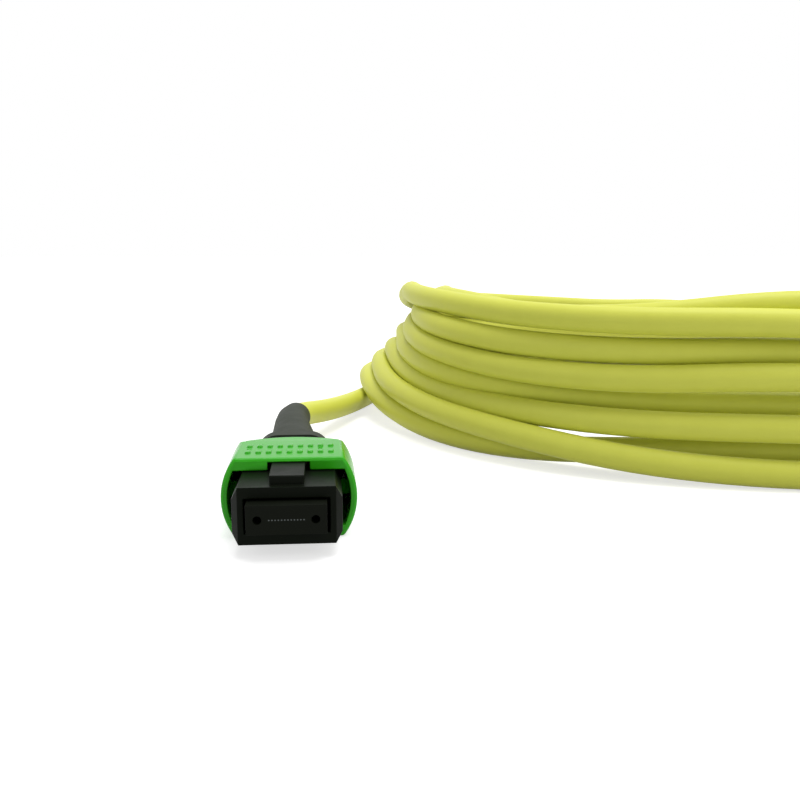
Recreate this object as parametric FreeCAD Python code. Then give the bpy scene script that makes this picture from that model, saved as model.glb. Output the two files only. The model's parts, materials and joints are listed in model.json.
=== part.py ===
import FreeCAD, Part
import math
import os

Vector = FreeCAD.Vector

# Multi-fibre push-on patch cord: a flat twelve-fibre connector on each end of a
# round 3 mm cable that is wound into a loose coil.
# Frame: the origin is the middle of the near connector's mating face, -Y points the way
# it plugs in, +Z is up on the key side. Everything lies on a floor below the connector.
# All lengths are in millimetres.

# ---------------------------------------------------------------- running clearances
fit_gap = 0.05
slide_gap = 0.11
seat_gap = 0.02
cut_over = 1.0

# ---------------------------------------------------------------- ferrule and fibres
ferrule_width = 6.4
ferrule_height = 2.5
ferrule_length = 8.0
shoulder_step_x = 0.3
shoulder_step_z = 0.4
shoulder_length = 2.0
end_face_angle = 8.0
guide_pitch = 4.6
guide_hole_radius = 0.35
pocket_wall = 0.15
pocket_height = 1.34
pocket_depth = 4.5
ribbon_width = 3.1
ribbon_thickness = 0.3
bundle_size = 1.1
rubber_boot_overhang = 1.3
rubber_boot_cover = 3.0
keeper_length = 1.8
keeper_gap_x = 0.1
keeper_gap_z = 0.15

# ---------------------------------------------------------------- inner housing
mouth_gap_x = 0.25
mouth_gap_z = 0.2
nose_setback = 1.15
nose_bevel_depth = 0.53
nose_bevel_length = 0.75
housing_side_wall = 0.9
housing_top_wall = 0.66
housing_end = 17.0
corner_cut_x = 0.55
corner_cut_top = 1.1
corner_cut_bottom = 0.8
key_width = 2.8
key_height = 0.76
key_start = 1.8
key_length = 9.8
key_chamfer = 0.12

# ---------------------------------------------------------------- springs and their seats
spring_groove_start = 10.1
spring_groove_length = 5.5
spring_groove_depth = 0.6
spring_groove_gap = 0.2
spring_lug_length = 0.6
side_spring_diameter = 1.2
side_spring_wire = 0.22
side_spring_turns = 5
side_spring_steps = 6
ferrule_spring_gap = 0.2
ferrule_spring_wire = 0.4
ferrule_spring_turns = 4
ferrule_spring_steps = 8
ferrule_spring_length = 4.7

# ---------------------------------------------------------------- coupling sleeve
sleeve_start = 6.5
sleeve_front_length = 7.3
sleeve_grip_length = 3.4
sleeve_flat_margin = 0.2
sleeve_side_wall = 0.55
sleeve_corner_wall = 0.53
sleeve_top_wall = 1.03
sleeve_corner_radius = 0.45
sleeve_spring_gap = 0.175
grip_step_x = 0.325
grip_top_wall = 0.38
key_slot_gap = 0.4
key_slot_bridge = 0.6
pip_rows = 2
pip_columns = 9
pip_margin = 0.6
pip_length = 0.9
pip_width = 0.5
pip_height = 0.14

# ---------------------------------------------------------------- cable clamp and strain relief
push_flange_lip_x = 0.15
push_flange_lip_z = 0.5
push_flange_length = 2.4
push_flange_corner = 0.8
latch_height = 1.5
latch_length = 0.6
latch_root = 0.2
post_diameter = 3.0
post_length = 4.0
yarn_thickness = 0.24
crimp_wall = 0.34
relief_base_length = 2.0
relief_base_lip = 0.7
relief_base_corner = 2.2
relief_neck_wall = 0.73
relief_neck_root = 0.3
relief_mid_wall = 0.4
relief_tip_wall = 0.15
relief_length = 22.3
relief_arc_steps = 2

# ---------------------------------------------------------------- cable
cable_diameter = 3.0
bend_step = 12.0
far_end_x = 116.6
far_end_y = 3.0
coil_center_x = 63.5
coil_center_y = 72.0
coil_outer_radius = 57.6
coil_inner_radius = 45.5
coil_inner_shift_x = 2.7
coil_inner_shift_y = -1.5
coil_front_height = 20.9
coil_left_height = 20.5
coil_right_height = 14.8
coil_far_height = 14.8

# ---------------------------------------------------------------- worked-out widths and heights
shoulder_width = ferrule_width + 2 * shoulder_step_x
shoulder_height = ferrule_height + 2 * shoulder_step_z
pocket_width = guide_pitch - 2 * guide_hole_radius - 2 * pocket_wall
mouth_width = ferrule_width + 2 * mouth_gap_x
mouth_height = ferrule_height + 2 * mouth_gap_z
cavity_width = shoulder_width + 2 * fit_gap
cavity_height = shoulder_height + 2 * fit_gap
keeper_width = cavity_width - 2 * keeper_gap_x
keeper_height = cavity_height - 2 * keeper_gap_z
spring_width = keeper_width - 2 * ferrule_spring_gap
spring_height = keeper_height - fit_gap
housing_width = cavity_width + 2 * housing_side_wall
housing_height = cavity_height + 2 * housing_top_wall
side_spring_x = housing_width / 2 - spring_groove_depth + fit_gap + side_spring_diameter / 2
spring_groove_height = side_spring_diameter + 2 * spring_groove_gap
spring_reach = side_spring_x + side_spring_diameter / 2 + fit_gap
sleeve_cavity_height = housing_height + 2 * slide_gap
sleeve_cavity_bulge = 2 * (side_spring_x + side_spring_diameter / 2 + sleeve_spring_gap)
sleeve_height = sleeve_cavity_height + 2 * sleeve_top_wall
sleeve_flat_width = housing_width + 2 * sleeve_flat_margin
sleeve_bulge_width = sleeve_cavity_bulge + 2 * sleeve_side_wall
sleeve_cavity_flat = sleeve_flat_width - 2 * sleeve_corner_wall
grip_height = sleeve_cavity_height + 2 * grip_top_wall
grip_flat_width = housing_width
grip_bulge_width = sleeve_bulge_width - 2 * grip_step_x
grip_cavity_bulge = grip_bulge_width - 2 * sleeve_side_wall
grip_cavity_flat = housing_width - 2 * corner_cut_x + 2 * slide_gap
key_slot_width = key_width + 2 * key_slot_gap
key_slot_top = housing_height / 2 + key_height + fit_gap
push_flange_width = cavity_width + 2 * push_flange_lip_x
push_flange_height = cavity_height + 2 * push_flange_lip_z
fibre_slot_width = ribbon_width + 2 * slide_gap
post_bore_size = bundle_size + 2 * slide_gap
yarn_radius = post_diameter / 2 + seat_gap + yarn_thickness
crimp_inner_radius = yarn_radius + seat_gap
crimp_outer_radius = crimp_inner_radius + crimp_wall
relief_chamber_radius = crimp_outer_radius + fit_gap
relief_base_height = push_flange_height + 2 * relief_base_lip
cable_radius = cable_diameter / 2
relief_bore_radius = cable_radius + slide_gap
floor_z = -sleeve_height / 2

# ---------------------------------------------------------------- worked-out places along Y
shoulder_start = ferrule_length - shoulder_length
keeper_start = ferrule_length + seat_gap
ferrule_spring_start = keeper_start + keeper_length + seat_gap
push_start = ferrule_spring_start + ferrule_spring_length + seat_gap
push_flange_end = housing_end + push_flange_length
post_end = push_flange_end + post_length
relief_start = push_flange_end
cable_start = post_end + seat_gap
sleeve_step = sleeve_start + sleeve_front_length
sleeve_end = sleeve_step + sleeve_grip_length
spring_lug_start = spring_groove_start + fit_gap
side_spring_start = spring_lug_start + spring_lug_length + seat_gap
spring_groove_end = spring_groove_start + spring_groove_length
latch_end = housing_end - 2 * latch_length / 3
latch_window_end = latch_end + latch_length / 3
latch_window_start = latch_end - 4 * latch_length / 3

# The near cable: out of the connector, held nearly straight by the strain relief, then a
# bend to the right, down to the floor and in under the left side of the coil.
near_route = [
    Vector(0.0, cable_start, 0.0),
    Vector(-1.0, 41.3, 0.95),
    Vector(3.4, 52.5, -0.5),
    Vector(7.6, 66.0, -1.6),
    Vector(11.5, 79.0, floor_z + cable_radius),
]
# The far cable, counted from the far connector's own mating face. It leaves its strain
# relief as the near one does, and then bends back to meet the coil's right side.
far_route = near_route[:3] + [
    Vector(3.2, 66.0, -1.6),
    Vector(1.0, 79.0, floor_z + cable_radius),
]


# ---------------------------------------------------------------- shapes
def block(width, height, start, end, x=0.0, z=0.0):
    """A square bar along Y, centred on x and z."""
    corner = Vector(x - width / 2, start, z - height / 2)
    return Part.makeBox(width, end - start, height, corner)


def rod(radius, start, end, x=0.0, z=0.0):
    """A round bar along Y."""
    return Part.makeCylinder(radius, end - start, Vector(x, start, z), Vector(0, 1, 0))


def ring(outer_radius, inner_radius, start, end):
    """A round tube along Y."""
    return rod(outer_radius, start, end).cut(rod(inner_radius, start - cut_over, end + cut_over))


def outline(points, y):
    """A closed straight-sided profile from (x, z) points."""
    corners = [Vector(x, y, z) for x, z in points]
    return Part.makePolygon(corners + corners[:1])


def rectangle(width, height, y):
    """A rectangle in the XZ plane, centred on the axis."""
    x = width / 2
    z = height / 2
    return outline([(-x, -z), (x, -z), (x, z), (-x, z)], y)


def plate(points, height):
    """A flat plate seen from above as (x, y) points, centred on the axis in height."""
    corners = [Vector(x, y, -height / 2) for x, y in points]
    face = Part.Face(Part.makePolygon(corners + corners[:1]))
    return face.extrude(Vector(0, 0, height))


def barrel(flat_width, bulge_width, height, start, end):
    """A bar along Y with a flat top and bottom and outward-bowed sides."""
    flat = flat_width / 2
    bulge = bulge_width / 2
    top = height / 2
    upper = Part.LineSegment(Vector(-flat, start, top), Vector(flat, start, top))
    right = Part.Arc(
        Vector(flat, start, top), Vector(bulge, start, 0), Vector(flat, start, -top)
    )
    lower = Part.LineSegment(Vector(flat, start, -top), Vector(-flat, start, -top))
    left = Part.Arc(
        Vector(-flat, start, -top), Vector(-bulge, start, 0), Vector(-flat, start, top)
    )
    sides = [curve.toShape() for curve in (upper, right, lower, left)]
    return Part.Face(Part.Wire(sides)).extrude(Vector(0, end - start, 0))


def round_long_edges(bar, radius):
    """Rounds the edges that run along Y."""
    long_edges = [e for e in bar.Edges if abs(e.tangentAt(e.FirstParameter).y) > 0.99]
    return bar.makeFillet(radius, long_edges)


def edges_at(shape, y):
    """The edges that lie in the plane at this Y."""
    return [e for e in shape.Edges if all(abs(v.Point.y - y) < 1e-6 for v in e.Vertexes)]


def helix_spring(width, height, wire, turns, steps_per_turn, start, end, x=0.0):
    """An open coil spring of flat-sided wire with an oval or round outline, wound along Y."""
    half_width = (width - wire) / 2
    half_height = (height - wire) / 2
    climb = end - start - wire
    steps = turns * steps_per_turn
    sections = []
    for step in range(steps + 1):
        angle = 2 * math.pi * step / steps_per_turn
        y = start + wire / 2 + climb * step / steps
        middle = Vector(x + half_width * math.cos(angle), y, half_height * math.sin(angle))
        outward = Vector(half_height * math.cos(angle), 0, half_width * math.sin(angle))
        side = outward.normalize() * (wire / 2)
        rise = Vector(0, wire / 2, 0)
        corners = [
            middle + side + rise,
            middle - side + rise,
            middle - side - rise,
            middle + side - rise,
        ]
        sections.append(Part.makePolygon(corners + corners[:1]))
    return Part.makeLoft(sections, True, True)


# ---------------------------------------------------------------- cable paths
def cable_path(route):
    """Straight runs joined by tangent arcs, each arc as large as its runs allow."""
    edges = []
    radii = []
    cursor = route[0]
    for before, corner, after in zip(route, route[1:], route[2:]):
        run_in = corner - before
        run_out = after - corner
        half_turn = run_in.getAngle(run_out) / 2
        tangent = 0.45 * min(run_in.Length, run_out.Length)
        back = Vector(run_in).normalize()
        ahead = Vector(run_out).normalize()
        arc_start = corner - back * tangent
        arc_end = corner + ahead * tangent
        radius = tangent / math.tan(half_turn)
        inward = Vector(ahead - back).normalize()
        arc_middle = corner + inward * (radius / math.cos(half_turn) - radius)
        edges.append(Part.LineSegment(cursor, arc_start).toShape())
        edges.append(Part.Arc(arc_start, arc_middle, arc_end).toShape())
        radii.append(radius)
        cursor = arc_end
    edges.append(Part.LineSegment(cursor, route[-1]).toShape())
    return edges, radii


def along_path(edges, distance):
    """The point and the direction at a distance along a path."""
    left = distance
    for edge in edges:
        if left <= edge.Length:
            break
        left -= edge.Length
    parameter = edge.getParameterByLength(min(left, edge.Length))
    return edge.valueAt(parameter), edge.tangentAt(parameter)


def disc(radius, point, direction):
    """A round section across a path, with its seam on top so that sections loft untwisted."""
    circle = Part.Circle(point, direction, radius)
    circle.XAxis = Vector(0, 0, 1)
    return Part.Wire([circle.toShape()])


def tube_along(route, radius):
    """A round tube along a route, cut square to Y at its start, a section every few degrees."""
    edges, _ = cable_path(route)
    rings = [disc(radius, route[0], Vector(0, 1, 0))]
    for edge in edges:
        first = edge.FirstParameter
        span = edge.LastParameter - first
        steps = 1
        if isinstance(edge.Curve, Part.Circle):
            steps = math.ceil(math.degrees(span) / bend_step)
        for step in range(1, steps + 1):
            parameter = first + span * step / steps
            rings.append(disc(radius, edge.valueAt(parameter), edge.tangentAt(parameter)))
    return Part.makeLoft(rings, True, True)


# ---------------------------------------------------------------- pieces of one connector
def make_ferrule():
    """Moulded ferrule: shoulder at the back, two guide holes, slanted polished face."""
    front = -cut_over
    body = block(ferrule_width, ferrule_height, front, shoulder_start + shoulder_length / 2)
    ferrule = body.fuse(block(shoulder_width, shoulder_height, shoulder_start, ferrule_length))
    slant = block(2 * ferrule_width, 4 * ferrule_height, -4 * cut_over, 0.0)
    slant.rotate(Vector(0, 0, 0), Vector(1, 0, 0), end_face_angle)
    ferrule = ferrule.cut(slant)
    pocket_start = ferrule_length - pocket_depth
    pocket = block(pocket_width, pocket_height, pocket_start, ferrule_length + cut_over)
    ferrule = ferrule.cut(pocket)
    for side in (-1, 1):
        x = side * guide_pitch / 2
        ferrule = ferrule.cut(rod(guide_hole_radius, front, ferrule_length + cut_over, x))
    return ferrule.removeSplitter()


def make_ferrule_boot():
    """Soft sleeve that lines the ferrule's rear pocket and guides the ribbon in."""
    start = ferrule_length - rubber_boot_cover
    end = ferrule_length + rubber_boot_overhang
    outer = block(pocket_width - 2 * seat_gap, pocket_height - 2 * seat_gap, start, end)
    slot = block(
        ribbon_width + 2 * seat_gap,
        ribbon_thickness + 2 * seat_gap,
        start - cut_over,
        end + cut_over,
    )
    return outer.cut(slot)


def make_pin_keeper():
    """Flat spacer behind the ferrule that passes the spring's push on to it."""
    end = keeper_start + keeper_length
    window = block(
        pocket_width + 2 * slide_gap,
        pocket_height + 2 * slide_gap,
        keeper_start - cut_over,
        end + cut_over,
    )
    return block(keeper_width, keeper_height, keeper_start, end).cut(window)


def make_ferrule_spring():
    """Oval spring that keeps the ferrule pressed forward."""
    return helix_spring(
        spring_width,
        spring_height,
        ferrule_spring_wire,
        ferrule_spring_turns,
        ferrule_spring_steps,
        ferrule_spring_start,
        ferrule_spring_start + ferrule_spring_length,
    )


def make_spring_push():
    """Rear plug: it backs the spring, latches into the housing and ends in a clamp post."""
    plug = block(shoulder_width, shoulder_height, push_start, push_flange_end)
    flange = round_long_edges(
        block(push_flange_width, push_flange_height, housing_end, push_flange_end),
        push_flange_corner,
    )
    post = rod(post_diameter / 2, push_flange_end - post_length / 4, post_end)
    body = plug.fuse(flange).fuse(post)
    root_x = shoulder_width / 2 - latch_root
    reach = housing_width / 2 - fit_gap
    for side in (-1, 1):
        ramp = plate(
            [
                (side * root_x, latch_end - latch_length),
                (side * reach, latch_end),
                (side * root_x, latch_end),
            ],
            latch_height,
        )
        body = body.fuse(ramp)
    slot = block(fibre_slot_width, bundle_size, push_start - cut_over, housing_end)
    funnel = Part.makeLoft(
        [
            rectangle(fibre_slot_width, bundle_size, housing_end),
            rectangle(post_bore_size, post_bore_size, push_flange_end),
        ],
        True,
        True,
    )
    bore = block(post_bore_size, post_bore_size, push_flange_end, post_end + cut_over)
    return body.cut(slot).cut(funnel).cut(bore).removeSplitter()


def make_inner_housing():
    """Black plug body: bevelled nose, key on top, cavity for the ferrule, side grooves."""
    half = housing_width / 2
    top = housing_height / 2
    profile = outline(
        [
            (-half, -top + corner_cut_bottom),
            (-half + corner_cut_x, -top),
            (half - corner_cut_x, -top),
            (half, -top + corner_cut_bottom),
            (half, top - corner_cut_top),
            (half - corner_cut_x, top),
            (-half + corner_cut_x, top),
            (-half, top - corner_cut_top),
        ],
        nose_setback,
    )
    body = Part.Face(profile).extrude(Vector(0, housing_end - nose_setback, 0))
    for side in (-1, 1):
        wedge = plate(
            [
                (side * (half - nose_bevel_depth), nose_setback),
                (side * (half + cut_over), nose_setback - cut_over),
                (side * (half + cut_over), nose_setback + nose_bevel_length),
                (side * half, nose_setback + nose_bevel_length),
            ],
            2 * housing_height,
        )
        body = body.cut(wedge)
    key = block(
        key_width,
        key_height + housing_top_wall / 2,
        key_start,
        key_start + key_length,
        z=top + key_height / 2 - housing_top_wall / 4,
    )
    body = body.fuse(key.makeChamfer(key_chamfer, edges_at(key, key_start)))
    cavity_start = shoulder_start - seat_gap
    mouth = block(mouth_width, mouth_height, nose_setback - cut_over, shoulder_start)
    cavity = block(cavity_width, cavity_height, cavity_start, housing_end + cut_over)
    body = body.cut(mouth).cut(cavity)
    for side in (-1, 1):
        groove = block(
            2 * spring_groove_depth,
            spring_groove_height,
            spring_groove_start,
            spring_groove_end,
            x=side * half,
        )
        window = block(
            4 * housing_side_wall,
            latch_height + 2 * slide_gap,
            latch_window_start,
            latch_window_end,
            x=side * half,
        )
        body = body.cut(groove).cut(window)
    return body.removeSplitter()


def make_coupling_sleeve():
    """Green pull-back sleeve: bowed sides, key slot, raised front and a lower rear grip."""
    front = barrel(
        sleeve_flat_width, sleeve_bulge_width, sleeve_height, sleeve_start, sleeve_step
    )
    front = round_long_edges(front, sleeve_corner_radius)
    overlap = sleeve_front_length / 10
    grip = barrel(
        grip_flat_width, grip_bulge_width, grip_height, sleeve_step - overlap, sleeve_end
    )
    front_cavity = barrel(
        sleeve_cavity_flat,
        sleeve_cavity_bulge,
        sleeve_cavity_height,
        sleeve_start - cut_over,
        sleeve_step,
    )
    grip_cavity = barrel(
        grip_cavity_flat,
        grip_cavity_bulge,
        sleeve_cavity_height,
        sleeve_start,
        sleeve_end + cut_over,
    )
    spring_channel = block(
        2 * spring_reach, spring_groove_height, spring_groove_start, sleeve_end + cut_over
    )
    key_slot = block(
        key_slot_width,
        key_slot_top,
        sleeve_start - cut_over,
        sleeve_step - key_slot_bridge,
        z=key_slot_top / 2,
    )
    sleeve = front.fuse(grip).cut(front_cavity).cut(grip_cavity)
    sleeve = sleeve.cut(spring_channel).cut(key_slot)
    lug_inner = housing_width / 2 - spring_groove_depth + slide_gap
    lug_outer = (sleeve_cavity_bulge + sleeve_side_wall) / 2
    for side in (-1, 1):
        lug = block(
            lug_outer - lug_inner,
            spring_groove_height - 2 * slide_gap,
            spring_lug_start,
            spring_lug_start + spring_lug_length,
            x=side * (lug_outer + lug_inner) / 2,
        )
        sleeve = sleeve.fuse(lug)
    row_pitch = sleeve_front_length / (pip_rows + 1)
    column_pitch = (sleeve_flat_width - 2 * pip_margin) / pip_columns
    for row in range(pip_rows):
        middle = sleeve_start + row_pitch * (row + 1)
        for column in range(pip_columns):
            pip = block(
                pip_width,
                2 * pip_height,
                middle - pip_length / 2,
                middle + pip_length / 2,
                x=column_pitch * (column - (pip_columns - 1) / 2),
                z=sleeve_height / 2,
            )
            sleeve = sleeve.fuse(pip)
    return sleeve.removeSplitter()


def make_sleeve_spring(side):
    """Small side spring that returns the sleeve to its locked place."""
    return helix_spring(
        side_spring_diameter,
        side_spring_diameter,
        side_spring_wire,
        side_spring_turns,
        side_spring_steps,
        side_spring_start,
        spring_groove_end - seat_gap,
        x=side * side_spring_x,
    )


def make_aramid_yarn():
    """Strength yarn folded back over the clamp post."""
    start = push_flange_end + seat_gap
    return ring(yarn_radius, post_diameter / 2 + seat_gap, start, post_end)


def make_crimp_ring():
    """Metal ring pressed over the yarn."""
    start = push_flange_end + seat_gap
    return ring(crimp_outer_radius, crimp_inner_radius, start, post_end)


def make_fibre_ribbon():
    """Twelve fibres: flat in the ferrule, gathered into a bundle in the clamp post."""
    start = ferrule_length - pocket_depth + fit_gap
    flat = block(ribbon_width, ribbon_thickness, start, housing_end)
    gather = Part.makeLoft(
        [
            rectangle(ribbon_width, ribbon_thickness, housing_end),
            rectangle(bundle_size, bundle_size, push_flange_end),
        ],
        True,
        True,
    )
    bundle = block(bundle_size, bundle_size, push_flange_end, cable_start)
    return flat.fuse(gather).fuse(bundle).removeSplitter()


def make_strain_relief():
    """Moulded rubber boot: block base, tapered tail that follows the cable's bend."""
    neck_start = relief_start + relief_base_length
    base = block(push_flange_width, relief_base_height, relief_start, neck_start)
    base = round_long_edges(base, relief_base_corner)
    path, _ = cable_path(near_route[:3])
    bend_start = path[0].Length
    tail_end = relief_start + relief_length - cable_start
    neck_radius = relief_chamber_radius + relief_neck_wall
    mid_radius = relief_bore_radius + relief_mid_wall
    forward = path[0].tangentAt(0.0)
    neck_back = cable_start - neck_start + relief_neck_root
    neck_base = near_route[0] - forward * neck_back
    neck = Part.makeCone(neck_radius, mid_radius, neck_back + bend_start, neck_base, forward)
    rings = []
    for step in range(relief_arc_steps + 1):
        share = step / relief_arc_steps
        wall = relief_mid_wall + (relief_tip_wall - relief_mid_wall) * share
        point, direction = along_path(path, bend_start + (tail_end - bend_start) * share)
        rings.append(disc(relief_bore_radius + wall, point, direction))
    tail = Part.makeLoft(rings, True, True)
    bore = tube_along(near_route[:3], relief_bore_radius)
    chamber = rod(relief_chamber_radius, relief_start - cut_over, cable_start)
    return base.fuse(neck).fuse(tail).cut(chamber).cut(bore)


# ---------------------------------------------------------------- coil
def make_coil():
    """The outer shape of the wound cable: a ring, stacked high in front, fanned out behind."""
    center = Vector(coil_center_x, coil_center_y, floor_z)
    hole_center = center + Vector(coil_inner_shift_x, coil_inner_shift_y, -cut_over)
    solid_ring = Part.makeCylinder(coil_outer_radius, coil_front_height, center)
    hole = Part.makeCylinder(coil_inner_radius, coil_front_height + 2 * cut_over, hole_center)
    reach = coil_outer_radius - cable_diameter
    middle_height = (coil_right_height + coil_left_height) / 2
    slope_x = (coil_right_height - coil_left_height) / (2 * reach)
    slope_y = (coil_far_height - middle_height) / reach
    span = 2 * coil_outer_radius
    corners = []
    for dx, dy in ((-span, -span), (span, -span), (span, span), (-span, span)):
        corners.append(center + Vector(dx, dy, middle_height + slope_x * dx + slope_y * dy))
    lid = Part.Face(Part.makePolygon(corners + corners[:1]))
    lid = lid.extrude(Vector(0, 0, 4 * coil_front_height))
    return solid_ring.cut(hole).cut(lid)


# ---------------------------------------------------------------- assembly
connector_pieces = {
    "ferrule": make_ferrule(),
    "ferrule_boot": make_ferrule_boot(),
    "pin_keeper": make_pin_keeper(),
    "ferrule_spring": make_ferrule_spring(),
    "spring_push": make_spring_push(),
    "inner_housing": make_inner_housing(),
    "coupling_sleeve": make_coupling_sleeve(),
    "sleeve_spring_left": make_sleeve_spring(-1),
    "sleeve_spring_right": make_sleeve_spring(1),
    "aramid_yarn": make_aramid_yarn(),
    "crimp_ring": make_crimp_ring(),
    "fibre_ribbon": make_fibre_ribbon(),
    "strain_relief_boot": make_strain_relief(),
}
nodes = {}
far_place = Vector(far_end_x, far_end_y, 0)
for name, piece in connector_pieces.items():
    nodes["near_" + name] = piece
    far_piece = piece.copy()
    far_piece.translate(far_place)
    nodes["far_" + name] = far_piece

far_cable_route = [point + far_place for point in far_route]
nodes["cable_lead_in"] = tube_along(near_route, cable_radius)
nodes["cable_lead_out"] = tube_along(far_cable_route, cable_radius)
nodes["cable_coil"] = make_coil()

os.makedirs("parts", exist_ok=True)
for name, shape in nodes.items():
    solid = shape if shape.ShapeType == "Solid" else shape.Solids[0]
    solid.exportStep("parts/" + name + ".step")

for label, route in (("near", near_route), ("far", far_cable_route)):
    path, radii = cable_path(route)
    length = sum(edge.Length for edge in path)
    share = tube_along(route, cable_radius).Volume / (math.pi * cable_radius**2 * length)
    print(label, "cable radii", [round(r, 1) for r in radii])
    print(label, "cable length", round(length, 2), "volume share", round(share, 5))
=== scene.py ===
import json
import math

import bmesh
import bpy
from mathutils import Matrix, Vector

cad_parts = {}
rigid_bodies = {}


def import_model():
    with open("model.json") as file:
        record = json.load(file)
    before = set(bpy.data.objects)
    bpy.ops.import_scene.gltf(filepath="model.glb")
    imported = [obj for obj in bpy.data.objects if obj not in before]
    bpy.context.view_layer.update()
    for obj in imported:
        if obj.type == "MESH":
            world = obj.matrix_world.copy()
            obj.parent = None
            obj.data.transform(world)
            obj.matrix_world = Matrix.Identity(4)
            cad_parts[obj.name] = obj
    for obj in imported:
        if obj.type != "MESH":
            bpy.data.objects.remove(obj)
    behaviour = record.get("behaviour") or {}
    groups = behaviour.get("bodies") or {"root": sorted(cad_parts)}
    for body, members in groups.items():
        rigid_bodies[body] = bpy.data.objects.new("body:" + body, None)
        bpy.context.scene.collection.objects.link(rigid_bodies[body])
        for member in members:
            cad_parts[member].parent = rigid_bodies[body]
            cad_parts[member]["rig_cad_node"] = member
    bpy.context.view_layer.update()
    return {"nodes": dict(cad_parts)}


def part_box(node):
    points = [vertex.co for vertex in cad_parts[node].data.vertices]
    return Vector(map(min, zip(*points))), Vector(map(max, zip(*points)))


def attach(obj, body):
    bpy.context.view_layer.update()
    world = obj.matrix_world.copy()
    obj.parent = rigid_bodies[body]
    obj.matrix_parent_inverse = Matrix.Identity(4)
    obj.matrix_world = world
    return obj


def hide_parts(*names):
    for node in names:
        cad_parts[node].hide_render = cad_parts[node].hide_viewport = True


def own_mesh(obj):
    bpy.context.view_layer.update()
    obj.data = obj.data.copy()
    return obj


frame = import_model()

MM = 0.001

# ---------------------------------------------------------------- the bench, the light and the view
# The patch cord lies on a bench of white laminate in a light tent: a wide soft light in
# the ceiling, two weak panels at the sides, and even light from the tent's white walls.


def linear(colour):
    """An sRGB hex colour as the linear RGBA that a shader takes."""
    channels = [int(colour[i : i + 2], 16) / 255 for i in (1, 3, 5)]
    return [c / 12.92 if c <= 0.04045 else ((c + 0.055) / 1.055) ** 2.4 for c in channels] + [1.0]


def add(tree, kind, inputs=None, **settings):
    """Adds one node: its settings, then each input as a value or as a link."""
    node = tree.nodes.new(kind)
    for name, value in settings.items():
        setattr(node, name, value)
    for socket, value in (inputs or {}).items():
        if isinstance(value, bpy.types.NodeSocket):
            tree.links.new(value, node.inputs[socket])
        else:
            node.inputs[socket].default_value = value
    return node


def start_material(name):
    """An empty material: itself, its node tree and its output node."""
    material = bpy.data.materials.new(name)
    material.use_nodes = True
    material.node_tree.nodes.clear()
    return material, material.node_tree, add(material.node_tree, "ShaderNodeOutputMaterial")


def looked_at(tree):
    """1 where it is looked at, also in a reflection or through glass, and 0 for its light."""
    path = add(tree, "ShaderNodeLightPath")
    seen = add(
        tree,
        "ShaderNodeMath",
        {0: path.outputs["Is Camera Ray"], 1: path.outputs["Is Glossy Ray"]},
        operation="ADD",
    )
    seen = add(
        tree,
        "ShaderNodeMath",
        {0: seen.outputs[0], 1: path.outputs["Is Transmission Ray"]},
        operation="ADD",
        use_clamp=True,
    )
    return seen.outputs[0]


def finished_object(bm, name, materials=()):
    """Turns a bmesh into an object at the origin and links it."""
    mesh = bpy.data.meshes.new(name)
    bm.to_mesh(mesh)
    bm.free()
    piece = bpy.data.objects.new(name, mesh)
    for material in materials:
        mesh.materials.append(material)
    bpy.context.scene.collection.objects.link(piece)
    return piece


# Laminate is matt and even. Its grey takes the cord's soft shadow, and a glow that lights
# nothing else brings it up to white.
BENCH_GLOW = 0.65
bench_paint, tree, output = start_material("white laminate bench")
glow = add(tree, "ShaderNodeMath", {0: looked_at(tree), 1: BENCH_GLOW}, operation="MULTIPLY")
matt = add(tree, "ShaderNodeBsdfDiffuse", {"Color": linear("#C8C8C8")})
lit = add(tree, "ShaderNodeEmission", {"Color": linear("#FFFFFF"), "Strength": glow.outputs[0]})
both = add(tree, "ShaderNodeAddShader", {0: matt.outputs[0], 1: lit.outputs[0]})
tree.links.new(both.outputs[0], output.inputs["Surface"])

# The bench is three metres each way from its middle, and lies a hair under the cable.
BENCH_REACH = 3.0
BENCH_GAP = 0.02 * MM
bench_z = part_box("cable_coil")[0].z - BENCH_GAP
bm = bmesh.new()
bmesh.ops.create_grid(bm, x_segments=1, y_segments=1, size=BENCH_REACH)
bmesh.ops.translate(bm, verts=bm.verts, vec=(0, 0, bench_z))
bench = finished_object(bm, "bench", [bench_paint])

# The tent's walls look white, and give a little under half of that as light.
WALL_LIGHT = 0.45
world = bpy.data.worlds.new("light tent")
world.use_nodes = True
world.node_tree.nodes.clear()
tree = world.node_tree
wall = add(
    tree, "ShaderNodeMapRange", {"Value": looked_at(tree), "To Min": WALL_LIGHT, "To Max": 1.0}
)
sky = add(tree, "ShaderNodeBackground", {"Color": linear("#FFFFFF"), "Strength": wall.outputs[0]})
output = add(tree, "ShaderNodeOutputWorld")
tree.links.new(sky.outputs[0], output.inputs["Surface"])
bpy.context.scene.world = world

# The ceiling light is 45 degrees wide, so the shadows under the turns are soft. The panel
# on the right is twice as strong as the one on the left.
ceiling = bpy.data.lights.new("ceiling light", "SUN")
ceiling.energy = 2.4
ceiling.angle = math.radians(45)
holder = bpy.data.objects.new("ceiling light", ceiling)
holder.rotation_euler = (math.radians(-6), math.radians(9), 0)
bpy.context.scene.collection.objects.link(holder)
PANEL_SIZE = 0.26
for name, place, target, power in (
    ("left panel", (-0.36, -0.16, 0.22), (0.02, 0.03, 0.0), 0.15),
    ("right panel", (0.34, -0.22, 0.20), (0.03, 0.03, 0.0), 0.3),
):
    panel = bpy.data.lights.new(name, "AREA")
    panel.shape = "SQUARE"
    panel.size = PANEL_SIZE
    panel.energy = power
    holder = bpy.data.objects.new(name, panel)
    aim = Vector(target) - Vector(place)
    holder.location = place
    holder.rotation_euler = aim.to_track_quat("-Z", "Y").to_euler()
    bpy.context.scene.collection.objects.link(holder)

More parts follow.
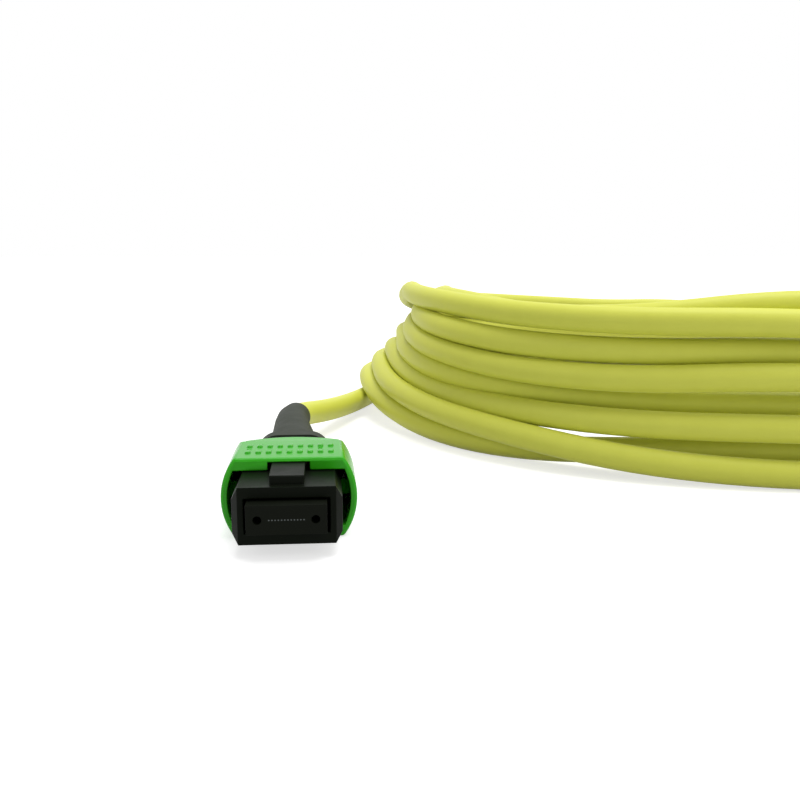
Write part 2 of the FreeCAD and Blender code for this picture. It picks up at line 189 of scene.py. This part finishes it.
# The view is from 7 cm in front of the near connector and 2 cm above it, looking down on
# it and a little to the right.
LOOK_DOWN = 9.27
LOOK_RIGHT = 4.80
lens = bpy.data.cameras.new("camera")
lens.lens = 41.3
lens.sensor_width = 36
lens.clip_start = 0.001
lens.clip_end = 20
camera = bpy.data.objects.new("camera", lens)
camera.location = (3.06 * MM, -70 * MM, 20.88 * MM)
camera.rotation_euler = (math.radians(90 - LOOK_DOWN), 0, math.radians(-LOOK_RIGHT))
bpy.context.scene.collection.objects.link(camera)
bpy.context.scene.camera = camera
bpy.context.scene.view_settings.view_transform = "Standard"

# ---------------------------------------------------------------- ferrules
# The ferrule holds twelve fibres in line between two guide holes. It is transfer moulded
# in glass-filled epoxy, true to a micrometre, and its front is ground to a slant and
# polished with the fibres in it. It floats in the housing on a spring.

# Both ends of the cord carry the same pieces. The far ones lie this far from the near ones.
ENDS = {"near": Vector((0, 0, 0)), "far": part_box("far_ferrule")[0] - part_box("near_ferrule")[0]}


def whole_faces(node):
    """A merged copy of a CAD node's mesh, with each flat face in one piece."""
    bm = bmesh.new()
    bm.from_mesh(frame["nodes"][node].data)
    bmesh.ops.remove_doubles(bm, verts=bm.verts, dist=0.0005 * MM)
    bmesh.ops.dissolve_limit(bm, angle_limit=math.radians(1.0), verts=bm.verts, edges=bm.edges)
    return bm


def ease(bm, rounding, sharp, segments, wanted=lambda edge: True):
    """Rounds the wanted edges where two faces turn by more than the sharp angle, in degrees."""
    corners = [
        edge
        for edge in bm.edges
        if edge.is_manifold and edge.calc_face_angle() > math.radians(sharp) and wanted(edge)
    ]
    bmesh.ops.bevel(
        bm,
        geom=corners,
        affect="EDGES",
        offset=rounding,
        offset_type="OFFSET",
        segments=segments,
        profile=0.5,
        material=-1,
        clamp_overlap=True,
    )


def moulding(bm, name, node):
    """Puts an eased copy in its node's place: smooth where it is round, crisp where flat."""
    piece = finished_object(bm, name)
    for face in piece.data.polygons:
        face.use_smooth = True
    piece.data.set_sharp_from_angle(angle=math.radians(40))
    crisp = piece.modifiers.new("flat faces stay flat", "WEIGHTED_NORMAL")
    crisp.keep_sharp = True
    crisp.weight = 90
    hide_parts(node)
    return piece


def softened(node, name, rounding, sharp=30.0, segments=2):
    """A CAD node as a moulding: the same shape, with each sharp edge rounded."""
    bm = whole_faces(node)
    ease(bm, rounding, sharp, segments)
    return moulding(bm, name, node)


def moulded(
    name,
    colours,
    roughness,
    ior,
    grain_mm,
    grain_depth_mm,
    gloss_spread=0.06,
    specular=0.5,
    edge_mm=0.06,
):
    """A moulded plastic or rubber: clouded colour, uneven gloss, a fine skin and soft edges.

    The clouds are pigment and filler that flowed unevenly, 2.5 mm across, and they move both
    the colour and the gloss. The grain is the skin that the tool leaves. Light runs round an
    edge as if its radius were edge_mm.
    """
    material, tree, output = start_material(name)
    place = add(tree, "ShaderNodeTexCoord")
    cloud = add(
        tree,
        "ShaderNodeTexNoise",
        {
            "Vector": place.outputs["Object"],
            "Scale": 1 / (2.5 * MM),
            "Detail": 4.0,
            "Roughness": 0.6,
        },
    )
    tint = add(
        tree,
        "ShaderNodeMix",
        {0: cloud.outputs["Fac"], 6: linear(colours[0]), 7: linear(colours[1])},
        data_type="RGBA",
    )
    skin = add(
        tree,
        "ShaderNodeTexNoise",
        {
            "Vector": place.outputs["Object"],
            "Scale": 1 / (grain_mm * MM),
            "Detail": 3.0,
            "Roughness": 0.55,
        },
    )
    gloss = add(
        tree,
        "ShaderNodeMapRange",
        {
            "Value": cloud.outputs["Fac"],
            "From Min": 0.3,
            "From Max": 0.7,
            "To Min": roughness - gloss_spread,
            "To Max": roughness + gloss_spread,
        },
    )
    edges = add(tree, "ShaderNodeBevel", {"Radius": edge_mm * MM}, samples=6)
    relief = add(
        tree,
        "ShaderNodeBump",
        {
            "Height": skin.outputs["Fac"],
            "Distance": grain_depth_mm * MM,
            "Strength": 1.0,
            "Normal": edges.outputs["Normal"],
        },
    )
    shader = add(
        tree,
        "ShaderNodeBsdfPrincipled",
        {
            "Base Color": tint.outputs[2],
            "Roughness": gloss.outputs["Result"],
            "IOR": ior,
            "Specular IOR Level": specular,
            "Normal": relief.outputs["Normal"],
        },
    )
    tree.links.new(shader.outputs[0], output.inputs["Surface"])
    return material


# Glass-filled epoxy is a deep, slightly warm black, nearly matt, with a faint bloom where
# the glass shows. Its glass grains are too fine to see, so they are drawn at 0.09 mm.
ferrule_resin = moulded(
    "glass filled black epoxy",
    ("#0A0D08", "#13160F"),
    roughness=0.46,
    ior=1.55,
    grain_mm=0.09,
    grain_depth_mm=0.004,
    specular=0.04,
)
# Each fibre ends in glass that is polished with the face: a row of faint grey points that
# shine more sharply than the resin round them.
fibre_glass = moulded(
    "polished fibre ends",
    ("#4E5654", "#3A4140"),
    roughness=0.12,
    ior=1.46,
    grain_mm=0.05,
    grain_depth_mm=0.0005,
)
FACE_SLANT = math.radians(8)
FIBRES = 12
FIBRE_PITCH = 0.25
FIBRE_RADIUS = 0.0625
# Polished fibres stand 0.002 mm out of the resin. These stand out further, to stay clear of it.
FIBRE_PROUD = 0.006
for end, place in ENDS.items():
    ferrule = softened(f"{end}_ferrule", f"{end}_ferrule_moulding", rounding=0.07 * MM)
    ferrule.data.materials.append(ferrule_resin)
    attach(ferrule, f"{end}_ferrule")
    bm = bmesh.new()
    facing_out = Matrix.Rotation(math.radians(90), 4, "X")
    for index in range(FIBRES):
        x = (index - (FIBRES - 1) / 2) * FIBRE_PITCH * MM
        bmesh.ops.create_circle(
            bm,
            cap_ends=True,
            segments=12,
            radius=FIBRE_RADIUS * MM,
            matrix=Matrix.Translation((x, -FIBRE_PROUD * MM, 0)) @ facing_out,
        )
    slant = Matrix.Rotation(FACE_SLANT, 3, "X")
    bmesh.ops.rotate(bm, verts=bm.verts, cent=(0, 0, 0), matrix=slant)
    bmesh.ops.translate(bm, verts=bm.verts, vec=place)
    fibre_ends = finished_object(bm, f"{end}_fibre_ends", [fibre_glass])
    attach(fibre_ends, f"{end}_ferrule")

# ---------------------------------------------------------------- ferrule boots
# A soft block of black silicone, pressed into the back of each ferrule. The glue that holds
# the ribbon is poured against it, and its slot keeps the fibres from bending sharply.

# Moulded silicone is matt and dark, with a soft bloom. Its skin is drawn at 0.12 mm, which
# is coarser than it is.
soft_rubber = moulded(
    "soft black silicone rubber",
    ("#151515", "#222222"),
    roughness=0.6,
    ior=1.43,
    grain_mm=0.12,
    grain_depth_mm=0.006,
)
for end in ENDS:
    lining = softened(f"{end}_ferrule_boot", f"{end}_ferrule_boot_rubber", rounding=0.05 * MM)
    lining.data.materials.append(soft_rubber)
    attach(lining, f"{end}_ferrule")

# ---------------------------------------------------------------- pin keepers
# A flat white spacer behind the ferrule, injection moulded in unfilled PBT. It spreads the
# spring's push over the ferrule's shoulder. In a plug with pins it holds their ends too.

# Unfilled PBT is a warm white with a soft, even gloss, over shallow tool marks that are
# about 0.15 mm across.
white_resin = moulded(
    "natural PBT",
    ("#D9D7CC", "#E6E4DB"),
    roughness=0.38,
    ior=1.54,
    grain_mm=0.15,
    grain_depth_mm=0.003,
)
for end in ENDS:
    keeper = softened(f"{end}_pin_keeper", f"{end}_pin_keeper_moulding", rounding=0.08 * MM)
    keeper.data.materials.append(white_resin)
    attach(keeper, f"{end}_ferrule")

# ---------------------------------------------------------------- ferrule springs
# An oval compression spring of stainless wire, four open turns, wound on a flat mandrel.
# It floats the ferrule, and shortens by a millimetre when two connectors meet.
POINTS_A_TURN = 16


def wound_spring(name, width, height, wire, turns, start, end, x, place, material):
    """A spring of round wire along Y, oval or round in outline. Its sizes are in millimetres."""
    shape = bpy.data.curves.new(name, "CURVE")
    shape.dimensions = "3D"
    shape.bevel_depth = wire / 2 * MM
    shape.bevel_resolution = 3
    shape.use_fill_caps = True
    shape.resolution_u = 4
    line = shape.splines.new("NURBS")
    steps = POINTS_A_TURN * turns
    line.points.add(steps)
    for step, point in enumerate(line.points):
        angle = 2 * math.pi * step / POINTS_A_TURN
        along = start + wire / 2 + (end - start - wire) * step / steps
        across = (width - wire) / 2 * math.cos(angle)
        upward = (height - wire) / 2 * math.sin(angle)
        point.co = (*(Vector((x + across, along, upward)) * MM + place), 1)
    line.order_u = 3
    line.use_endpoint_u = True
    coil = bpy.data.objects.new(name, shape)
    bpy.context.scene.collection.objects.link(coil)
    bpy.context.view_layer.update()
    mesh = bpy.data.meshes.new_from_object(
        coil.evaluated_get(bpy.context.evaluated_depsgraph_get())
    )
    bpy.data.objects.remove(coil)
    bm = bmesh.new()
    bm.from_mesh(mesh)
    bmesh.ops.remove_doubles(bm, verts=bm.verts, dist=0.0005 * MM)
    bmesh.ops.recalc_face_normals(bm, faces=bm.faces)
    for face in bm.faces:
        face.smooth = True
    return finished_object(bm, name, [material])


def bare_metal(name, colours, roughness, mark_mm, mark_depth_mm, detail):
    """A bare metal with fine tool marks, which change its tint, its gloss and its relief."""
    material, tree, output = start_material(name)
    place = add(tree, "ShaderNodeTexCoord")
    marks = add(
        tree,
        "ShaderNodeTexNoise",
        {
            "Vector": place.outputs["Object"],
            "Scale": 1 / (mark_mm * MM),
            "Detail": detail,
            "Roughness": 0.6,
        },
    )
    tint = add(
        tree,
        "ShaderNodeMix",
        {0: marks.outputs["Fac"], 6: linear(colours[0]), 7: linear(colours[1])},
        data_type="RGBA",
    )
    gloss = add(
        tree,
        "ShaderNodeMapRange",
        {"Value": marks.outputs["Fac"], "To Min": roughness[0], "To Max": roughness[1]},
    )
    relief = add(
        tree,
        "ShaderNodeBump",
        {"Height": marks.outputs["Fac"], "Distance": mark_depth_mm * MM, "Strength": 1.0},
    )
    shader = add(
        tree,
        "ShaderNodeBsdfPrincipled",
        {
            "Base Color": tint.outputs[2],
            "Metallic": 1.0,
            "Roughness": gloss.outputs["Result"],
            "Normal": relief.outputs["Normal"],
        },
    )
    tree.links.new(shader.outputs[0], output.inputs["Surface"])
    return material


# Drawn stainless wire is bright and smooth, with an uneven gloss from the die. The streaks
# of the die are too fine to see, so they are drawn at 0.2 mm.
spring_wire = bare_metal(
    "drawn stainless wire",
    ("#A9A8A2", "#C9C8C3"),
    roughness=(0.2, 0.38),
    mark_mm=0.2,
    mark_depth_mm=0.002,
    detail=4.0,
)
for end, place in ENDS.items():
    low, high = (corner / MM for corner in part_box(f"{end}_ferrule_spring"))
    size = high - low
    spring = wound_spring(
        f"{end}_ferrule_spring_wire",
        width=size.x,
        height=size.z,
        wire=0.4,
        turns=4,
        start=low.y - place.y / MM,
        end=high.y - place.y / MM,
        x=0,
        place=place,
        material=spring_wire,
    )
    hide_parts(f"{end}_ferrule_spring")
    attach(spring, "cable_assembly")
    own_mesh(spring)

# ---------------------------------------------------------------- spring pushes
# The rear plug of the housing, injection moulded in black PBT: two side latches that snap
# into the housing's windows, a flange that stops against it, and the post for the crimp.

# Black PBT from a finely blasted tool is a deep black that takes only a soft, silky light.
# The blast marks are drawn at 0.07 mm, a little coarser than they are.
housing_resin = moulded(
    "satin black PBT",
    ("#080C06", "#10150D"),
    roughness=0.38,
    ior=1.54,
    grain_mm=0.07,
    grain_depth_mm=0.003,
    specular=0.035,
    edge_mm=0.12,
)
for end in ENDS:
    push = softened(f"{end}_spring_push", f"{end}_spring_push_moulding", rounding=0.08 * MM)
    push.data.materials.append(housing_resin)
    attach(push, "cable_assembly")

# ---------------------------------------------------------------- inner housings
# The plug body that enters the adapter, injection moulded in the same black PBT. It has a
# bevelled nose, eased long corners, and the key that sets which way up it goes in.
for end in ENDS:
    housing = softened(f"{end}_inner_housing", f"{end}_inner_housing_moulding", rounding=0.1 * MM)
    housing.data.materials.append(housing_resin)
    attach(housing, "cable_assembly")

# ---------------------------------------------------------------- coupling sleeves
# The sleeve that is pulled back to unplug: green PBT, the colour that marks an angled
# polish, injection moulded in a polished tool. Rows of small raised pips give the fingers
# hold, and two channels inside it hold the side springs. Sizes here are in millimetres.

# A polished tool leaves a clear gloss: the top mirrors the tent, and the sides stay deep
# green. The polish is very slightly wavy, at 0.6 mm.
green_plastic = moulded(
    "glossy green PBT",
    ("#2AA00E", "#34AC14"),
    roughness=0.24,
    ior=1.54,
    grain_mm=0.6,
    grain_depth_mm=0.003,
    gloss_spread=0.04,
    specular=0.16,
    edge_mm=0.12,
)
# The mouth: the cavity's side walls bow out past the housing, between two corners under
# its flat top. The outer rim round it is rolled over by the tool's radius.
CAVITY_TOP = 2.47
CAVITY_BULGE = 5.27
CAVITY_CORNER = 4.74
CAVITY_SIDES_FROM = 4.0
RIM_ROUNDING = 0.25
RIM_STEPS = 4
# The outside, from the front: a flat top, a corner that is round about a point and ends at a
# height, and a side that is round about the middle. The skin is above SKIN_Z or past the radius.
CORNER_X = 4.42
CORNER_Z = 3.05
CORNER_END_Z = 3.31
SKIN_Z = 3.45
SKIN_RADIUS = 5.6
# The rear grip is lower than the front, and its top is a low arch for the finger.
GRIP_START = 13.79
GRIP_TOP = 2.85
GRIP_HALF_WIDTH = 4.45
GRIP_CROWN = 0.3
CROWN_STRIP = 0.9
STRIPS_EACH_SIDE = 4
# The body's edges are eased, and the pips stand up from it as small domes.
SLEEVE_EDGE = 0.1
PIP_HEIGHT = 0.14
PIP_DOME = 0.125
# A small block closes the rear end of each side spring's channel.
STOP_X = 4.95
STOP_Y = 16.6
STOP_SIZE = (0.8, 0.9, 1.9)
STOP_EDGE = 0.08
# A point this near to a surface counts as lying on it.
TOUCHING = 0.02
cavity_rise = CAVITY_BULGE - CAVITY_CORNER
cavity_radius = (CAVITY_TOP**2 + cavity_rise**2) / (2 * cavity_rise)


def cavity_side(height):
    """Half the width of the cavity at a height: an arc from its lower to its upper corner."""
    return CAVITY_BULGE - cavity_radius + math.sqrt(cavity_radius**2 - height**2)


def widen_mouth(bm, mouth):
    """Bows the cavity's side walls out where they meet the rim."""
    for v in bm.verts:
        x, height = abs(v.co.x) / MM, abs(v.co.z) / MM
        on_rim = abs(v.co.y - mouth) < TOUCHING * MM and height < CAVITY_TOP + TOUCHING
        if on_rim and CAVITY_SIDES_FROM < x < cavity_side(height) + TOUCHING:
            v.co.x = math.copysign(cavity_side(height), v.co.x) * MM


def cut_rim(bm, mouth):
    """Cuts the loops round the mouth that the rolled rim bends at."""
    for step in range(RIM_STEPS + 1):
        bend = math.radians(90 * step / RIM_STEPS)
        bmesh.ops.bisect_plane(
            bm,
            geom=bm.verts[:] + bm.edges[:] + bm.faces[:],
            plane_co=(0, mouth + RIM_ROUNDING * (1 - math.sin(bend)) * MM, 0),
            plane_no=(0, 1, 0),
        )


def crown_grip(bm):
    """Cuts the grip into strips along Y and lifts its top to a low arch."""
    for strip in range(-STRIPS_EACH_SIDE, STRIPS_EACH_SIDE + 1):
        grip = [f for f in bm.faces if all(v.co.y > GRIP_START * MM for v in f.verts)]
        bmesh.ops.bisect_plane(
            bm,
            geom=list(dict.fromkeys(part for f in grip for part in (f, *f.edges, *f.verts))),
            plane_co=(strip * CROWN_STRIP * MM, 0, 0),
            plane_no=(1, 0, 0),
        )
    for v in bm.verts:
        if v.co.y > GRIP_START * MM and abs(v.co.z - GRIP_TOP * MM) < TOUCHING * MM:
            v.co.z += GRIP_CROWN * (1 - (v.co.x / (GRIP_HALF_WIDTH * MM)) ** 2) * MM


def outward(x, z):
    """The way straight out of the skin at a point in the sleeve's upper right quarter."""
    if x < CORNER_X:
        return Vector((0, 0, 1))
    if z > CORNER_END_Z:
        return Vector((x - CORNER_X, 0, z - CORNER_Z)).normalized()
    return Vector((x, 0, z)).normalized()


def roll_rim(bm, mouth):
    """Draws the outer skin in towards the mouth, in a quarter round."""
    for v in bm.verts:
        x, z = abs(v.co.x) / MM, abs(v.co.z) / MM
        depth = RIM_ROUNDING - (v.co.y - mouth) / MM
        if depth > 0 and (z > SKIN_Z or math.hypot(x, z) > SKIN_RADIUS):
            inset = RIM_ROUNDING - math.sqrt(max(RIM_ROUNDING**2 - depth**2, 0))
            away = outward(x, z)
            v.co.x -= math.copysign(inset * away.x * MM, v.co.x)
            v.co.z -= math.copysign(inset * away.z * MM, v.co.z)


def on_a_pip(edge, sleeve_top):
    """Whether an edge stands above the sleeve's top, as only a pip's edges do."""
    return max(v.co.z for v in edge.verts) > sleeve_top + TOUCHING * MM


def close_channel(bm, side):
    """Adds the eased block that closes one side spring's channel."""
    place = Matrix.Translation((side * STOP_X * MM, STOP_Y * MM, 0))
    size = Matrix.Diagonal((*(length * MM for length in STOP_SIZE), 1))
    stop = bmesh.ops.create_cube(bm, size=1.0, matrix=place @ size)
    bmesh.ops.bevel(
        bm,
        geom=list(dict.fromkeys(edge for v in stop["verts"] for edge in v.link_edges)),
        affect="EDGES",
        offset=STOP_EDGE * MM,
        segments=2,
        profile=0.5,
        material=-1,
    )


for end, place in ENDS.items():
    node = f"{end}_coupling_sleeve"
    low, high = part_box(node)
    bm = whole_faces(node)
    bmesh.ops.translate(bm, verts=bm.verts, vec=-place)
    mouth = low.y - place.y
    top = high.z - PIP_HEIGHT * MM
    widen_mouth(bm, mouth)
    cut_rim(bm, mouth)
    crown_grip(bm)
    roll_rim(bm, mouth)
    ease(
        bm,
        SLEEVE_EDGE * MM,
        sharp=30.0,
        segments=2,
        wanted=lambda edge: edge.is_convex and not on_a_pip(edge, top),
    )
    ease(
        bm,
        PIP_DOME * MM,
        sharp=30.0,
        segments=4,
        wanted=lambda edge: edge.is_convex and on_a_pip(edge, top),
    )
    for side in (-1, 1):
        close_channel(bm, side)
    bmesh.ops.translate(bm, verts=bm.verts, vec=place)
    sleeve = moulding(bm, node + "_moulding", node)
    sleeve.data.materials.append(green_plastic)
    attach(sleeve, f"{end}_sleeve")

# ---------------------------------------------------------------- side springs
# Two thin round springs of the same stainless wire, one in each side groove of the housing.
# They return the sleeve to its locked place, and shorten by two millimetres when it is pulled.
SIDE_SPRING_WIDTH = 1.2
for end, place in ENDS.items():
    for side in ("left", "right"):
        node = f"{end}_sleeve_spring_{side}"
        low, high = (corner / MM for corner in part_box(node))
        size = high - low
        spring = wound_spring(
            node + "_wire",
            width=SIDE_SPRING_WIDTH,
            height=SIDE_SPRING_WIDTH,
            wire=0.22,
            turns=5,
            start=low.y - place.y / MM,
            end=high.y - place.y / MM,
            x=(low.x + high.x) / 2 - place.x / MM,
            place=place,
            material=spring_wire,
        )
        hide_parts(node)
        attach(spring, "cable_assembly")
        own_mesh(spring)

# ---------------------------------------------------------------- aramid yarn
# The cable's strength member: yellow aramid filaments, folded back over the post so that
# the crimp grips them and no pull reaches the fibres.

# Filaments that lie together are a soft, silky gold. One is 0.012 mm thick, and the bundles
# that are drawn are 0.05 mm.
yarn_fibre = moulded(
    "aramid yarn",
    ("#C9A53A", "#E0C362"),
    roughness=0.55,
    ior=1.6,
    grain_mm=0.05,
    grain_depth_mm=0.012,
)
for end in ENDS:
    yarn = softened(f"{end}_aramid_yarn", f"{end}_aramid_yarn_wrap", 0.04 * MM, sharp=60.0)
    yarn.data.materials.append(yarn_fibre)
    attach(yarn, "cable_assembly")

# ---------------------------------------------------------------- crimp rings
# A short tube of nickel-plated brass. It is slipped over the yarn and pressed onto the
# post with a crimping die, so that the cable can't be pulled out of the plug.

# Nickel over brass is bright and a little warm, and the die leaves it slightly uneven,
# with marks about 0.4 mm apart.
crimp_metal = bare_metal(
    "nickel plated brass",
    ("#B8B4A8", "#D2CFC6"),
    roughness=(0.18, 0.4),
    mark_mm=0.4,
    mark_depth_mm=0.004,
    detail=5.0,
)
for end in ENDS:
    crimp = softened(f"{end}_crimp_ring", f"{end}_crimp_ring_tube", 0.06 * MM, sharp=60.0)
    crimp.data.materials.append(crimp_metal)
    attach(crimp, "cable_assembly")

# ---------------------------------------------------------------- fibre ribbons
# Twelve coated fibres side by side: laid flat through the ferrule and the spring, then
# gathered to a bundle that goes through the post into the round cable.

# Acrylate coating is clear, thin and smooth: the ribbon is a pale, faintly green strip with
# some gloss, rippled at 0.1 mm.
fibre_coating = moulded(
    "acrylate coated fibre",
    ("#CFE3DC", "#E4F0EA"),
    roughness=0.3,
    ior=1.5,
    grain_mm=0.1,
    grain_depth_mm=0.002,
)
for end, place in ENDS.items():
    low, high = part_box(f"{end}_fibre_ribbon")
    ribbon = softened(f"{end}_fibre_ribbon", f"{end}_fibre_ribbon_strip", 0.04 * MM, sharp=45.0)
    ribbon.data.materials.append(fibre_coating)
    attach(ribbon, "cable_assembly")
    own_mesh(ribbon)

# ---------------------------------------------------------------- strain relief boots
# The bend limiter behind the housing: dark grey TPE moulded in one piece, a block that
# seats on the flange and a tapered tail that lets the cable curve away slowly.

# Moulded TPE is matt: a dark grey that light hardly marks, with the fine grain of an
# eroded tool, about 0.1 mm.
boot_rubber = moulded(
    "dark grey TPE",
    ("#2F332C", "#3A3E37"),
    roughness=0.62,
    ior=1.5,
    grain_mm=0.1,
    grain_depth_mm=0.008,
    specular=0.1,
)
for end in ENDS:
    boot = softened(
        f"{end}_strain_relief_boot",
        f"{end}_strain_relief_moulding",
        rounding=0.15 * MM,
        sharp=40.0,
        segments=3,
    )
    boot.data.materials.append(boot_rubber)
    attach(boot, "cable_assembly")

# ---------------------------------------------------------------- cable
# Nearly three metres of round fibre cable, 3 mm across: twelve fibres and aramid yarn in an
# extruded low-smoke jacket, wound by hand into a loose coil between its two connectors.

# The jacket is a bright yellow green, with a soft sheen along its top. Its extruded skin is
# slightly rough, about 0.25 mm from bump to bump.
jacket = moulded(
    "low smoke cable jacket",
    ("#D3D654", "#DBDE5E"),
    roughness=0.46,
    ior=1.5,
    grain_mm=0.25,
    grain_depth_mm=0.012,
    specular=0.18,
)
CABLE = 3.0
# Out of the crimp, along the middle of the boot, and out of its tip, in millimetres. The
# cable leaves both connectors in this way.
leaving = [
    Vector((0, 23.42, 0)),
    Vector((-0.5, 30.4, 0.4)),
    Vector((-1.0, 41.3, 0.95)),
    Vector((3.4, 52.5, -0.5)),
]
# The cable joins the coil just behind its left side, and leaves it just behind its right
# side after eight turns and a half.
COIL_MIDDLE = Vector((63.5, 72, 0))
POINTS_A_LAP = 24
FIRST_POINT = 2
LAST_ANGLE = 360 * 8 + 157
# At each angle round the coil, clockwise from its left side: the radius and the height of
# each turn there, in millimetres, from the first turn to the last.
TURNS = {
    0: [
        (52.6, -2.0), (53.2, 1.3), (51.2, 3.6), (49.2, 5.9), (47.2, 8.2),
        (45.4, 10.6), (43.4, 12.8), (46.3, 14.9), (40.8, 14.1),
    ],
    45: [
        (51.8, -2.0), (54.4, -0.5), (52.4, 1.8), (49.7, 3.2), (49.3, 6.2),
        (46.0, 6.4), (47.6, 9.3), (50.4, 9.6), (45.8, 11.5),
    ],
    90: [
        (50.9, -2.0), (53.9, -1.6), (52.2, 0.8), (49.0, 0.9), (51.0, 3.5),
        (47.6, 3.5), (48.9, 6.1), (51.9, 6.3), (49.4, 9.0),
    ],
    112: [
        (50.7, -2.0), (53.7, -1.7), (51.9, 0.8), (48.9, 0.9), (51.2, 3.6),
        (48.0, 3.7), (48.5, 6.5), (51.4, 6.6), (53.3, 9.2),
    ],
    135: [
        (50.4, -2.0), (53.4, -1.9), (51.7, 0.8), (48.7, 0.9), (51.8, 3.8),
        (48.8, 3.9), (48.2, 6.8), (51.1, 7.5), (54.9, 5.9),
    ],
    150: [
        (50.2, -2.0), (53.2, -1.9), (51.6, 0.7), (48.6, 0.8), (52.2, 3.6),
        (49.2, 3.7), (48.3, 6.5), (51.1, 7.7), (55.9, 1.5),
    ],
    160: [
        (50.1, -2.0), (53.1, -2.0), (51.5, 0.7), (48.5, 0.7), (52.4, 3.5),
        (49.4, 3.6), (48.3, 6.3), (51.1, 7.8), (56.1, -2.0),
    ],
    168: [
        (50.0, -2.0), (53.0, -2.0), (51.4, 0.7), (48.5, 0.7), (52.6, 3.4),
        (49.6, 3.5), (48.4, 6.1), (51.0, 7.9), (55.6, -2.0),
    ],
    180: [
        (49.9, -2.0), (52.9, -2.0), (51.4, 0.6), (48.4, 0.6), (52.9, 3.3),
        (49.9, 3.3), (48.4, 5.9), (51.0, 8.0),
    ],
    235: [
        (51.2, -1.0), (54.2, -2.0), (53.4, 1.7), (50.3, 2.9), (54.1, 6.0),
        (51.2, 7.3), (51.6, 10.4), (51.4, 13.6),
    ],
    282: [
        (51.7, -0.1), (55.0, -2.0), (54.8, 2.9), (51.5, 4.8), (54.8, 8.5),
        (52.0, 10.7), (54.6, 13.8), (51.6, 15.8),
    ],
    295: [
        (52.2, -0.1), (55.6, -1.9), (54.7, 2.5), (51.8, 4.6), (54.7, 7.5),
        (53.1, 10.2), (54.6, 13.5), (51.6, 14.2),
    ],
    308: [
        (53.5, -2.0), (56.0, -0.3), (54.6, 2.3), (52.0, 4.5), (54.6, 6.7),
        (54.2, 9.8), (54.6, 13.3), (51.6, 12.6),
    ],
    334: [
        (53.4, -2.0), (53.9, 1.3), (51.2, 2.8), (52.0, 5.7), (52.4, 8.6),
        (52.0, 11.5), (50.5, 14.5), (47.4, 14.6),
    ],
}
laid = [
    (360 * turn + angle, radius, height)
    for angle, turns in TURNS.items()
    for turn, (radius, height) in enumerate(turns)
]
# Down from the near boot to the bench, round the coil, and up to the far boot. A turn's
# points stand a little outside it, because the curve runs inside its points.
route = leaving + [Vector((7.6, 66.0, -1.6)), Vector((11.5, 79.0, -2.0))]
step_angle = 360 / POINTS_A_LAP
travelled = FIRST_POINT * step_angle
while travelled < LAST_ANGLE:
    before = max(entry for entry in laid if entry[0] <= travelled)
    after = min(entry for entry in laid if entry[0] > travelled)
    share = (travelled - before[0]) / (after[0] - before[0])
    radius = (before[1] + (after[1] - before[1]) * share) / math.cos(math.pi / POINTS_A_LAP)
    height = before[2] + (after[2] - before[2]) * share
    turned = math.radians(180 - travelled)
    around = Vector((radius * math.cos(turned), radius * math.sin(turned), height))
    route.append(COIL_MIDDLE + around)
    travelled += step_angle
arriving = leaving + [Vector((3.2, 66.0, -1.6)), Vector((1.0, 79.0, -2.0))]
route += [point + ENDS["far"] / MM for point in reversed(arriving)]

shape = bpy.data.curves.new("fibre_cable", "CURVE")
shape.dimensions = "3D"
shape.bevel_depth = CABLE / 2 * MM
shape.bevel_resolution = 6
shape.resolution_u = 6
shape.use_fill_caps = True
line = shape.splines.new("NURBS")
line.points.add(len(route) - 1)
for point, place in zip(line.points, route):
    point.co = (*(place * MM), 1)
line.order_u = 3
line.use_endpoint_u = True
cable = bpy.data.objects.new("fibre_cable", shape)
shape.materials.append(jacket)
bpy.context.scene.collection.objects.link(cable)
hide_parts("cable_lead_in", "cable_coil", "cable_lead_out")
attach(cable, "cable_assembly")
